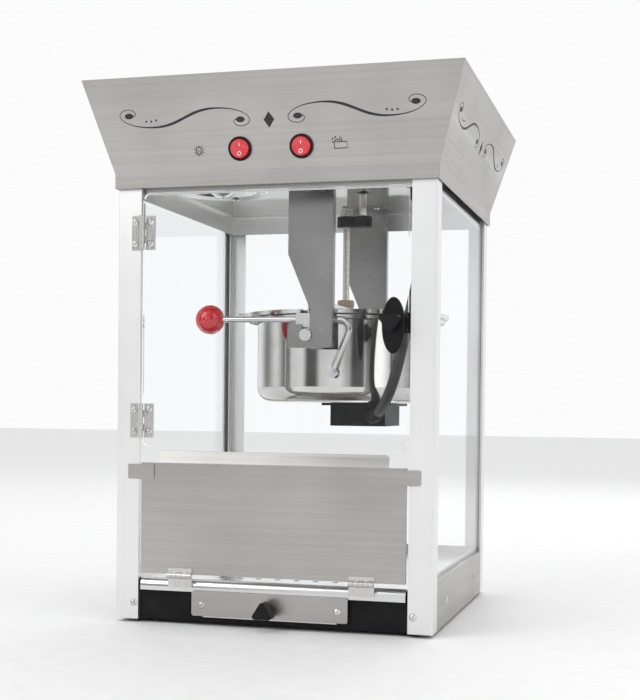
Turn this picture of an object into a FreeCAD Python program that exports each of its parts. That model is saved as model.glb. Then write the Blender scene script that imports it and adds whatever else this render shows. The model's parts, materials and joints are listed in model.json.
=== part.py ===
"""Tabletop popcorn maker: glass cabinet, flared canopy and a tilting kettle.

All sizes are millimetres.  +X is the right-hand side as the user sees it, +Y points
away from the user and +Z is up.  The origin is on the surface that the feet stand
on, in the middle of the cabinet.
"""
import FreeCAD, Part
import math
import operator
import os
from types import SimpleNamespace

import Sketcher

Vector = FreeCAD.Vector
Rotation = FreeCAD.Rotation

DIMENSIONS = {
    # cabinet frame
    "cabinet_width": 360,
    "cabinet_depth": 360,
    "foot_height": 4,
    "foot_radius": 11,
    "foot_inset": 24,
    "post_width": 27,
    "post_depth": 25,
    "post_wall": 2.8,
    "post_top": 500,
    "post_lip": 5,
    "glass": 4,
    "glass_gap": 0.45,
    "rib_wall": 1.5,
    "rib_depth": 12,
    "steel": 1.5,
    "skirt_top": 57,
    "rail_height": 24,
    "rail_flange": 8,
    "frame_gap": 0.4,
    "screw_head": 4.2,
    "screw_shank": 1.6,
    # base, tray and drawer
    "base_top": 48,
    "bolt_spacing": 280,
    "bolt_radius": 3.3,
    "tray_z": 49,
    "tray_edge": 12,
    "tray_lip_half": 150.5,
    "tray_lip_bottom": 37,
    "tray_lip_radius": 9,
    "tray_hole_radius": 3.5,
    "tray_hole_step": 22,
    "drawer_half": 76,
    "drawer_bottom": 10,
    "drawer_top": 33,
    "drawer_length": 210,
    "drawer_front_half": 88.5,
    "drawer_front_bottom": 11.5,
    "drawer_front_top": 38.8,
    "drawer_screw_x": 77,
    # drop panel
    "panel_bottom": 56,
    "panel_top": 178.5,
    "panel_lip_top": 192,
    "panel_lip_half": 131,
    "panel_lip_lean": 4,
    "ear_height": 16.4,
    "ear_inner": 134.6,
    "ear_outer": 165.6,
    "ear_drop": 2,
    "panel_hinge_x": 103,
    "panel_hinge_width": 28,
    # glass door
    "door_half": 150,
    "door_bottom": 196,
    "door_top": 477,
    "door_corner": 8,
    "hinge_height": 38,
    "hinge_low_z": 225,
    "hinge_high_z": 433,
    "hinge_leaf": 13,
    "hinge_pin_y": 183.8,
    "knuckle_radius": 3.2,
    "hinge_pin_radius": 1.6,
    "leaf_thick": 1.3,
    "knob_x": 134.5,
    "knob_z": 329,
    "knob_plate_width": 25,
    "knob_plate_height": 60,
    "knob_plate_thick": 3,
    "knob_width": 26,
    "knob_round": 3,
    "knob_head": 15,
    "knob_neck_radius": 5,
    "knob_reach": 24,
    # canopy
    "band_bottom": 482,
    "band_height": 16,
    "band_side": 2.7,
    "band_front": 4.7,
    "flare_height": 99.7,
    "flare_side": 29.7,
    "flare_front": 25.9,
    "canopy_return": 14,
    "switch_x": 34.5,
    "switch_up": 22.4,
    "bezel_radius": 13,
    "bezel_thick": 2.2,
    "switch_hole": 10.9,
    "switch_depth": 24,
    "rocker_radius": 10.6,
    "rocker_rise": 3.2,
    "rocker_angle": 9,
    "rocker_pin_radius": 1.2,
    "rocker_pin_half": 11.4,
    # kettle
    "kettle_x": 36,
    "kettle_radius": 105.5,
    "kettle_bottom": 247,
    "kettle_rim_z": 347,
    "kettle_wall": 1.5,
    "kettle_corner": 18,
    "rim_radius": 117,
    "pivot_x": 24,
    "pivot_z": 322,
    "pin_radius": 4.45,
    "pin_head_radius": 6.8,
    "bar_half": 15,
    "bar_height": 9,
    "bar_base": 349,
    "lid_radius": 121,
    "pour_reach": 137,
    "lid_pin_radius": 2,
    "heater_x": 62,
    "heater_half": 33,
    "heater_depth": 40,
    "heater_height": 27,
    "heater_flange": 8.5,
    "rod_radius": 3.3,
    "rod_y": 125,
    "rod_z": 340,
    "ball_x": 91,
    "ball_radius": 16.75,
    # hangers
    "hanger_y": 130,
    "hanger_half": 27,
    "hanger_mid": 29.8,
    "hanger_bottom": 308,
    "hanger_neck": 351,
    "hanger_shoulder": 412,
    "hanger_tab": 334,
    "hanger_fold": 8,
    "hanger_foot": 26,
    # stirrer and drive
    "shaft_radius": 4,
    "gear_z": 458.5,
    "gear_thick": 12.5,
    "gear_teeth": 16,
    "gear_module": 1.25,
    # lamp
    "lamp_x": 105,
    "lamp_y": 52,
    "lamp_radius": 57,
    "lamp_dish": 41,
    # kettle lead
    "lead_radius": 6,
    "socket_x": 141,
    "socket_y": 66,
}

RUNNING = 0.05       # radial clearance of a shaft that turns in its bearing
CLEAR = 0.3          # clearance between bodies that pass each other

doc = FreeCAD.newDocument("popcorn_maker")
sheet = doc.addObject("Spreadsheet::Sheet", "dims")
for row, (word, number) in enumerate(DIMENSIONS.items(), start=1):
    sheet.set("A%d" % row, word)
    sheet.set("B%d" % row, str(number))
    sheet.setAlias("B%d" % row, word)
doc.recompute()


class Size:
    """A length or angle that carries its value and its spreadsheet expression."""

    def __init__(self, text, value):
        self.text = text
        self.value = value

    def __add__(self, other):
        return combine(self, "+", other)

    def __radd__(self, other):
        return combine(other, "+", self)

    def __sub__(self, other):
        return combine(self, "-", other)

    def __rsub__(self, other):
        return combine(other, "-", self)

    def __mul__(self, other):
        return combine(self, "*", other)

    def __rmul__(self, other):
        return combine(other, "*", self)

    def __truediv__(self, other):
        return combine(self, "/", other)

    def __neg__(self):
        return combine(0, "-", self)


OPERATORS = {"+": operator.add, "-": operator.sub, "*": operator.mul, "/": operator.truediv}


def as_size(length):
    """A plain number or a Size, as a Size."""
    if isinstance(length, Size):
        return length
    return Size("(%r)" % float(length), float(length))


def combine(left, sign, right):
    """Two lengths joined by an arithmetic sign."""
    left, right = as_size(left), as_size(right)
    value = OPERATORS[sign](left.value, right.value)
    return Size("(%s %s %s)" % (left.text, sign, right.text), value)


def root(length):
    """The square root of a length squared."""
    return Size("sqrt(%s)" % length.text, math.sqrt(length.value))


d = SimpleNamespace(**{word: Size("dims." + word, float(sheet.get(word))) for word in DIMENSIONS})

half_width = d.cabinet_width / 2
half_depth = d.cabinet_depth / 2
nodes = []           # the finished sub-parts, in the order they are made


def bind(item, name, length):
    """Ties one property to the spreadsheet."""
    length = as_size(length)
    item.setExpression(name, length.text)


def node(name, item):
    """Marks an object as a finished sub-part under its own name."""
    item.Label = name
    nodes.append(item)
    return item


def place(item, x=0, y=0, z=0, turn=None):
    """Binds an object's position, after an optional turn."""
    item.Placement = FreeCAD.Placement(Vector(), turn or Rotation())
    for axis, length in (("x", x), ("y", y), ("z", z)):
        bind(item, "Placement.Base." + axis, length)
    return item


def block(low, high):
    """A box between two corners."""
    item = doc.addObject("Part::Box", "block")
    for side, a, b in zip(("Length", "Width", "Height"), low, high):
        bind(item, side, as_size(b) - a)
    return place(item, *low)


ALONG = {
    "x": Rotation(Vector(0, 1, 0), 90),
    "y": Rotation(Vector(1, 0, 0), -90),
    "z": Rotation(),
}


def cylinder(start, radius, length, axis="z", turn=None):
    """A cylinder that starts at a point and runs along an axis."""
    item = doc.addObject("Part::Cylinder", "cylinder")
    bind(item, "Radius", radius)
    bind(item, "Height", length)
    return place(item, *start, turn=turn or ALONG[axis])


def sphere(centre, radius):
    """A ball round a point."""
    item = doc.addObject("Part::Sphere", "sphere")
    bind(item, "Radius", radius)
    return place(item, *centre)


def fuse(*items):
    """One solid out of several that meet."""
    item = doc.addObject("Part::MultiFuse", "fuse")
    item.Shapes = list(items)
    item.Refine = True
    return item


def cut(base, *tools):
    """The base with every tool taken out of it."""
    item = doc.addObject("Part::Cut", "cut")
    item.Base = base
    item.Tool = tools[0] if len(tools) == 1 else group(*tools)
    return item


def common(first, second):
    """What two solids share."""
    item = doc.addObject("Part::Common", "common")
    item.Base = first
    item.Tool = second
    return item


def group(*items):
    """Separate solids that share one sub-part."""
    item = doc.addObject("Part::Compound", "group")
    item.Links = list(items)
    return item


def mirrored(source, normal):
    """A mirror image in the cabinet's middle plane with that normal."""
    item = doc.addObject("Part::Mirroring", "mirror")
    item.Source = source
    item.Normal = normal
    return item


MIRROR_X = Vector(1, 0, 0)
MIRROR_Y = Vector(0, 1, 0)


def constrain(sketch, constraint, length):
    """Adds a constraint and ties its size to the spreadsheet."""
    index = sketch.addConstraint(constraint)
    bind(sketch, "Constraints[%d]" % index, length)


def pin_point(sketch, geometry, point, across, up):
    """Holds one point of a sketch at its place from the origin."""
    across, up = as_size(across), as_size(up)
    for kind, length in (("DistanceX", across), ("DistanceY", up)):
        held = Sketcher.Constraint(kind, -1, 1, geometry, point, length.value)
        constrain(sketch, held, length)


def outline(body, role, points):
    """A closed outline in a sketch on one of a body's origin planes."""
    sketch = body.newObject("Sketcher::SketchObject", "outline")
    plane = next(f for f in body.Origin.OriginFeatures if f.Role == role)
    sketch.AttachmentSupport = [(plane, "")]
    sketch.MapMode = "FlatFace"
    corners = [Vector(as_size(u).value, as_size(v).value, 0) for u, v in points]
    count = len(corners)
    for index in range(count):
        line = Part.LineSegment(corners[index], corners[(index + 1) % count])
        sketch.addGeometry(line, False)
    for index in range(count):
        joint = Sketcher.Constraint("Coincident", index, 2, (index + 1) % count, 1)
        sketch.addConstraint(joint)
        pin_point(sketch, index, 1, *points[index])
    return sketch


PLANES = {"xy": "XY_Plane", "xz": "XZ_Plane", "yz": "YZ_Plane"}


def prism(plane, points, low, high):
    """An outline in a plane, made solid between two distances along the third axis."""
    body = doc.addObject("PartDesign::Body", "prism")
    pad = body.newObject("PartDesign::Pad", "pad")
    pad.Profile = outline(body, PLANES[plane], points)
    bind(pad, "Length", as_size(high) - low)
    if plane == "xy":
        return place(body, z=low)
    if plane == "yz":
        return place(body, x=low)
    return place(body, y=high)


def turned(points, x, y, z=0):
    """An outline of (radius, height) points turned round a vertical axis."""
    body = doc.addObject("PartDesign::Body", "turned")
    sketch = outline(body, "XZ_Plane", points)
    spin = body.newObject("PartDesign::Revolution", "spin")
    spin.Profile = sketch
    spin.ReferenceAxis = (sketch, ["V_Axis"])
    spin.Angle = 360
    return place(body, x, y, z)


def rounded(body, radius, chosen):
    """Rounds the edges of a body that a test picks by their middle point and direction."""
    doc.recompute()
    base = body.Tip
    names = []
    for index, edge in enumerate(base.Shape.Edges, start=1):
        if chosen(edge):
            names.append("Edge%d" % index)
    fillet = body.newObject("PartDesign::Fillet", "round")
    fillet.Base = (base, names)
    bind(fillet, "Radius", radius)
    return body


def runs_along(edge, axis):
    """Whether an edge is straight and parallel to an axis."""
    if edge.Curve.TypeId != "Part::GeomLine":
        return False
    direction = edge.tangentAt(edge.FirstParameter)
    return abs(abs(direction.dot(axis)) - 1) < 1e-6


def shaped(shape):
    """A sub-part whose shape is made directly, from sizes read in the spreadsheet."""
    item = doc.addObject("Part::Feature", "shaped")
    item.Shape = shape
    return item


# Heights and planes that several sub-parts share.
ceiling_z = d.post_top
rib_outer = half_width - d.post_wall - d.glass - 2 * d.glass_gap
rib_inner = rib_outer - d.rib_wall
pane_inner = rib_outer + d.glass_gap
frame_half = rib_inner - d.frame_gap
base_front = half_depth - d.post_lip - d.frame_gap
post_inner = half_width - d.post_width
door_front = half_depth - 0.5
panel_face = half_depth + CLEAR
panel_hinge_y = half_depth + 3.6
panel_hinge_z = d.panel_bottom - 1.4


# ------------------------------------------------------------------ cabinet frame
def post(front):
    """The right-hand corner extrusion, with a channel for the side glass."""
    wall = d.post_wall
    across, along = half_width, half_depth
    points = [
        (post_inner, -along),
        (across, -along),
        (across, d.post_depth - along),
        (across - wall, d.post_depth - along),
        (across - wall, wall - along),
        (rib_outer, wall - along),
        (rib_outer, wall + d.rib_depth - along),
        (rib_inner, wall + d.rib_depth - along),
        (rib_inner, wall - along),
    ]
    if front:
        points += [
            (post_inner + d.rib_wall, wall - along),
            (post_inner + d.rib_wall, d.post_lip - along),
            (post_inner, d.post_lip - along),
        ]
    else:
        points += [(post_inner, wall - along)]
    column = prism("xy", points, d.foot_height, d.post_top)
    corner = Vector(half_width.value, -half_depth.value, 0)

    def outer_corner(edge):
        low = edge.Vertexes[0].Point
        return Vector(low.x, low.y, 0).distanceToPoint(corner) < 0.01 and runs_along(edge, Vector(0, 0, 1))

    return rounded(column, 1.5, outer_corner)


def frame_ring(half, wall, low, high):
    """A square ring of sheet round the cabinet's middle."""
    outside = block((-half, -half, low), (half, half, high))
    inside = block((wall - half, wall - half, low - 1), (half - wall, half - wall, high + 1))
    return cut(outside, inside)


def build_frame():
    """Corner posts, top frame, skirts, glass and feet."""
    front = node("post_front_right", post(front=True))
    node("post_front_left", mirrored(front, MIRROR_X))
    plain = post(front=False)
    rear = node("post_rear_right", mirrored(plain, MIRROR_Y))
    node("post_rear_left", mirrored(rear, MIRROR_X))

    low = ceiling_z - d.rail_height
    rails = frame_ring(frame_half, d.steel, low, ceiling_z)
    flange = frame_ring(frame_half, d.rail_flange, ceiling_z - d.steel, ceiling_z)
    node("top_frame", fuse(rails, flange))

    end = half_depth - d.post_depth - CLEAR
    bottom, top = d.foot_height, d.skirt_top
    wall = block((half_width - d.steel, -end, bottom), (half_width, end, top))
    ledge = block((rib_outer, -end, top - d.steel), (half_width, end, top))
    right = node("skirt_right", fuse(wall, ledge))
    node("skirt_left", mirrored(right, MIRROR_X))
    end = post_inner - CLEAR
    wall = block((-end, half_depth - d.steel, bottom), (end, half_depth, top))
    ledge = block((-end, rib_outer, top - d.steel), (end, half_depth, top))
    node("skirt_rear", fuse(wall, ledge))

    low, high = d.skirt_top + CLEAR, ceiling_z - 0.5
    reach = pane_inner + d.glass
    side = node("glass_right", block((pane_inner, -reach, low), (reach, reach, high)))
    node("glass_left", mirrored(side, MIRROR_X))
    node("glass_rear", block((-frame_half, pane_inner, low), (frame_half, reach, high)))

    feet = []
    for side_x in (-1, 1):
        for side_y in (-1, 1):
            x = side_x * (half_width - d.foot_inset)
            y = side_y * (half_depth - d.foot_inset)
            feet.append(cylinder((x, y, 0), d.foot_radius, d.foot_height))
    node("feet", group(*feet))


def build_base():
    """Base pan with the drawer opening, popcorn tray and its rounded front lip."""
    floor = d.foot_height
    half = frame_half
    shell = block((-half, -base_front, floor), (half, half, d.base_top))
    hollow = block(
        (d.steel - half, d.steel - base_front, floor + d.steel),
        (half - d.steel, half - d.steel, d.base_top + 1),
    )
    mouth_half = d.drawer_half + d.steel
    mouth = block(
        (-mouth_half, -base_front - 1, d.drawer_bottom - d.steel),
        (mouth_half, d.steel + 1 - base_front, d.drawer_top + 2 * d.steel),
    )
    holes = []
    for side_x in (-1, 1):
        for side_y in (-1, 1):
            spot = (side_x * d.bolt_spacing / 2, side_y * d.bolt_spacing / 2, floor - 1)
            holes.append(cylinder(spot, d.bolt_radius, d.steel + 2))
    pan = cut(shell, hollow, mouth, *holes)
    runners = []
    for side in (-1, 1):
        middle = side * (d.drawer_half - 2)
        runners.append(
            block(
                (middle - 5, d.steel - base_front, floor + d.steel),
                (middle + 5, 60, d.drawer_bottom - CLEAR),
            )
        )
    node("base_pan", fuse(pan, *runners))

    top = d.tray_z + d.steel
    half = frame_half - 1
    front = base_front - 1
    sheet_floor = block((-half, -front, d.tray_z), (half, half, top))
    edges = []
    for side in (-1, 1):
        outer, inner = side * half, side * (half - 1)
        left, right = (outer, inner) if side < 0 else (inner, outer)
        edges.append(block((left, -front, d.tray_z), (right, half, d.tray_z + d.tray_edge)))
    edges.append(block((-half, half - 1, d.tray_z), (half, half, d.tray_z + d.tray_edge)))
    holes = []
    for column in range(-3, 4):
        for line in range(7):
            spot = (column * d.tray_hole_step, line * d.tray_hole_step - 150, d.tray_z - 1)
            holes.append(cylinder(spot, d.tray_hole_radius, d.steel + 2))
    perforated = cut(sheet_floor, *holes)
    face = -half_depth
    lip = prism(
        "yz",
        [
            (8 - front, d.tray_z),
            (8 - front, top),
            (face, top),
            (face, d.tray_lip_bottom),
            (face + d.steel, d.tray_lip_bottom),
            (face + d.steel, d.tray_z),
        ],
        -d.tray_lip_half,
        d.tray_lip_half,
    )

    def at_corner(y, z):
        corner = Vector(0, as_size(y).value, as_size(z).value)

        def chosen(edge):
            low = edge.Vertexes[0].Point
            near = Vector(0, low.y, low.z).distanceToPoint(corner) < 0.01
            return near and runs_along(edge, Vector(1, 0, 0))

        return chosen

    rounded(lip, d.tray_lip_radius, at_corner(face, top))
    rounded(lip, d.tray_lip_radius - d.steel, at_corner(face + d.steel, d.tray_z))
    node("popcorn_tray", fuse(perforated, lip, *edges))


# ------------------------------------------------------------------------- canopy
fold_z = d.band_bottom + d.band_height
canopy_z = fold_z + d.flare_height
band_x = half_width + d.band_side
band_y = half_depth + d.band_front
canopy_x = band_x + d.flare_side
canopy_y = band_y + d.flare_front
slope = root(d.flare_front * d.flare_front + d.flare_height * d.flare_height)
lean = math.degrees(math.atan2(d.flare_front.value, d.flare_height.value))
FRONT_TURN = Rotation(Vector(1, 0, 0), 90 + lean)
REAR_TURN = Rotation(Vector(1, 0, 0), -90 - lean)


def on_slope(side, across, up, out):
    """A point on the canopy's front (-1) or rear (1) slope, some way out of its face."""
    y = band_y + up * d.flare_front / slope + out * d.flare_height / slope
    z = fold_z + up * d.flare_height / slope - out * d.flare_front / slope
    return (across, side * y, z)


def canopy_panel(plane, band, spread, long_half, wedge):
    """One folded side: a low upright band, a flare and a return at the top."""
    wall = d.steel
    points = [
        (-band, d.band_bottom),
        (-band, fold_z),
        (-band - spread, canopy_z),
        (d.canopy_return - band - spread, canopy_z),
        (d.canopy_return - band - spread, canopy_z - wall),
        (wall * 1.3 - band - spread, canopy_z - wall),
        (wall - band, fold_z),
        (wall - band, d.band_bottom),
    ]
    folded = prism(plane, points, -long_half, long_half)
    corner = prism("xy", wedge, d.band_bottom - 1, canopy_z + 1)
    return common(folded, corner)


def build_canopy():
    """Four mitred sides and the top."""
    far_x = band_x + 2 * d.flare_side
    far_y = band_y + 2 * d.flare_front
    apex_y = band_x * d.flare_front / d.flare_side - band_y
    apex_x = band_y * d.flare_side / d.flare_front - band_x
    wedge = [(0, apex_y), (-far_x, -far_y), (far_x, -far_y)]
    plain_front = canopy_panel("yz", band_y, d.flare_front, canopy_x, wedge)
    holes = []
    for side in (-1, 1):
        spot = on_slope(-1, side * d.switch_x, d.switch_up, -10)
        holes.append(cylinder(spot, d.bezel_radius - 1.2, 20, turn=FRONT_TURN))
    node("canopy_front", cut(plain_front, *holes))
    spot = on_slope(1, 120, 40, -10)
    hole = cylinder(spot, 8.2, 20, turn=REAR_TURN)
    node("canopy_rear", cut(mirrored(plain_front, MIRROR_Y), hole))
    wedge = [(apex_x, 0), (-far_x, far_y), (-far_x, -far_y)]
    left = node("canopy_left", canopy_panel("xz", band_x, d.flare_side, canopy_y, wedge))
    node("canopy_right", mirrored(left, MIRROR_X))
    inset = 2.6 * d.steel
    low = canopy_z - 2 * d.steel
    node(
        "canopy_top",
        block(
            (inset - canopy_x, inset - canopy_y, low),
            (canopy_x - inset, canopy_y - inset, low + d.steel),
        ),
    )
    flange = cylinder(on_slope(1, 120, 40, 0), 12, 3.5, turn=REAR_TURN)
    barrel = cylinder(on_slope(1, 120, 40, -9), 8, 20, turn=REAR_TURN)
    bore = cylinder(on_slope(1, 120, 40, -10), 4.2, 24, turn=REAR_TURN)
    node("power_inlet", cut(fuse(flange, barrel), bore))


def build_ceiling():
    """Ceiling plate with its openings, the lamp, the gear motor and the hangers."""
    half = rib_outer + d.glass
    plate = block((-half, -half, ceiling_z), (half, half, ceiling_z + d.steel))
    drive_x = d.kettle_x + d.gear_teeth * d.gear_module
    under = ceiling_z - 1
    lamp_hole = cylinder((-d.lamp_x, -d.lamp_y, under), d.lamp_dish + 1, 5)
    shaft_hole = cylinder((drive_x, 0, under), 2 * d.shaft_radius, 5)
    lead_hole = cylinder((d.socket_x, -d.socket_y, under), 11.5, 5)
    node("ceiling_panel", cut(plate, lamp_hole, shaft_hole, lead_hole))

    wall = 1.2
    dish = d.lamp_dish
    lamp = [
        (d.lamp_radius, 0),
        (d.lamp_radius, -3),
        (d.lamp_radius - 3, -4.5),
        (dish + 1.5, -2),
        (24, 17),
        (24, 24),
        (9, 24),
        (9, 24 + wall),
        (24 + wall, 24 + wall),
        (24 + wall, 17.5),
        (dish, 1),
        (dish, 0),
    ]
    node("lamp_flange", turned(lamp, -d.lamp_x, -d.lamp_y, ceiling_z))
    centre = (-d.lamp_x, -d.lamp_y, ceiling_z + 8)
    outer = fuse(sphere(centre, 18), cylinder(centre, 18, 15.5))
    inner = fuse(sphere(centre, 16.4), cylinder(centre, 16.4, 16))
    node("lamp_dome", cut(outer, inner))
    bulb = sphere((-d.lamp_x, -d.lamp_y, ceiling_z + 5), 11)
    neck = cylinder((-d.lamp_x, -d.lamp_y, ceiling_z + 5), 7, 18.7)
    node("lamp_bulb", fuse(bulb, neck))

    floor = ceiling_z + d.steel
    gearbox = block((drive_x - 30, -26, floor), (drive_x + 30, 26, floor + 28))
    can = cylinder((drive_x, 0, floor + 28), 23, 46)
    cap = cylinder((drive_x, 0, floor + 74), 9, 5)
    bore = cylinder((drive_x, 0, floor - 1), d.shaft_radius + RUNNING, 17)
    node("gear_motor", cut(fuse(gearbox, can, cap), bore))

    neck = d.pivot_x + d.pin_radius + RUNNING
    slot = d.pivot_x - d.pin_radius - RUNNING
    left, right = d.hanger_mid - d.hanger_half, d.hanger_mid + d.hanger_half
    face = d.hanger_y + d.steel / 2
    profile = [
        (left, ceiling_z),
        (left, d.hanger_shoulder),
        (neck, d.hanger_neck),
        (neck, d.pivot_z),
        (slot, d.pivot_z),
        (slot, d.hanger_tab),
        (left, d.hanger_tab),
        (left, d.hanger_bottom),
        (right, d.hanger_bottom),
        (right, ceiling_z),
    ]
    plate = prism("xz", profile, -face, d.steel - face)
    fold = block((right - d.steel, -face - d.hanger_fold, d.hanger_bottom), (right, -face, ceiling_z))
    foot = block((left, -face, ceiling_z - d.steel), (right, d.hanger_foot - face, ceiling_z))
    seat = cylinder(
        (d.pivot_x, -face - 1, d.pivot_z), d.pin_radius + RUNNING, d.steel + 2, "y"
    )
    front = node("hanger_front", cut(fuse(plate, fold, foot), seat))
    node("hanger_rear", mirrored(front, MIRROR_Y))


def build_switches():
    """Two round rocker switches in the sloping front."""
    bodies = []
    rockers = []
    rest_turn = Rotation(Vector(1, 0, 0), 90 + lean - d.rocker_angle.value)
    for side in (-1, 1):
        across = side * d.switch_x

        def spot(out):
            return on_slope(-1, across, d.switch_up, out)

        bezel = cylinder(spot(0), d.bezel_radius, d.bezel_thick, turn=FRONT_TURN)
        barrel = cylinder(spot(-d.switch_depth), d.bezel_radius - 1.4, d.switch_depth, turn=FRONT_TURN)
        well = cylinder(spot(-12), d.switch_hole, 20, turn=FRONT_TURN)
        middle = spot(0)
        reach = d.rocker_pin_half
        pin_start = (across - reach, middle[1], middle[2])
        pin_bore = cylinder(pin_start, d.rocker_pin_radius + RUNNING, reach * 2, "x")
        bodies.append(cut(fuse(bezel, barrel), well, pin_bore))
        pin = cylinder(pin_start, d.rocker_pin_radius, reach * 2, "x")
        size = d.rocker_radius + 1
        top = d.rocker_rise
        profile = [
            (-size, -size),
            (size, -size),
            (size, top + 1.8),
            (0, top),
            (-size, top + 1.8),
        ]
        slab = prism("yz", profile, -size, size)
        wedge = place(doc.addObject("Part::Compound", "wedge"), *middle, turn=rest_turn)
        wedge.Links = [slab]
        rockers.append(fuse(common(sphere(middle, d.rocker_radius), wedge), pin))
    node("switch_housings", group(*bodies))
    node("rocker_lamp", rockers[0])
    node("rocker_kettle", rockers[1])


# ------------------------------------------------------------------------- kettle
def turned_corner(radius, z):
    """Picks the round edge of that radius at that height."""
    def chosen(edge):
        if edge.Curve.TypeId != "Part::GeomCircle":
            return False
        same_radius = abs(edge.Curve.Radius - as_size(radius).value) < 0.01
        return same_radius and abs(edge.Vertexes[0].Z - as_size(z).value) < 0.01
    return chosen


def tube(points, radius, bends):
    """A round bar along straight runs joined by tangent arcs of the given radii."""
    edges = []
    start = points[0]
    for before, corner, after, bend in zip(points, points[1:], points[2:], bends):
        back = (before - corner).normalize()
        ahead = (after - corner).normalize()
        half_angle = back.getAngle(ahead) / 2
        setback = bend / math.tan(half_angle)
        middle = (back + ahead).normalize()
        inward = bend / math.sin(half_angle) - bend
        first = corner + back * setback
        last = corner + ahead * setback
        edges.append(Part.LineSegment(start, first).toShape())
        edges.append(Part.Arc(first, corner + middle * inward, last).toShape())
        start = last
    edges.append(Part.LineSegment(start, points[-1]).toShape())
    path = Part.Wire(edges)
    heading = points[1] - points[0]
    ring = Part.Wire([Part.Circle(points[0], heading, radius).toShape()])
    solid = path.makePipeShell([ring], True, True)
    expected = math.pi * radius ** 2 * path.Length
    if abs(solid.Volume / expected - 1) > 0.01:
        raise ValueError("a bent bar has the wrong volume")
    return solid


# The gland points out of the heater box, to the right and a little upwards.
GLAND_AIM = Vector(0.38, -0.92, 0.06).normalize()
GLAND_TURN = Rotation(Vector(0, 0, 1), GLAND_AIM)
GLAND_ROOT = Vector(80, -38, 233)
GLAND_MOUTH = GLAND_ROOT + GLAND_AIM * 16
GLAND_START = tuple(GLAND_ROOT)
GLAND_NUT = tuple(GLAND_ROOT + GLAND_AIM * 9)


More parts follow.
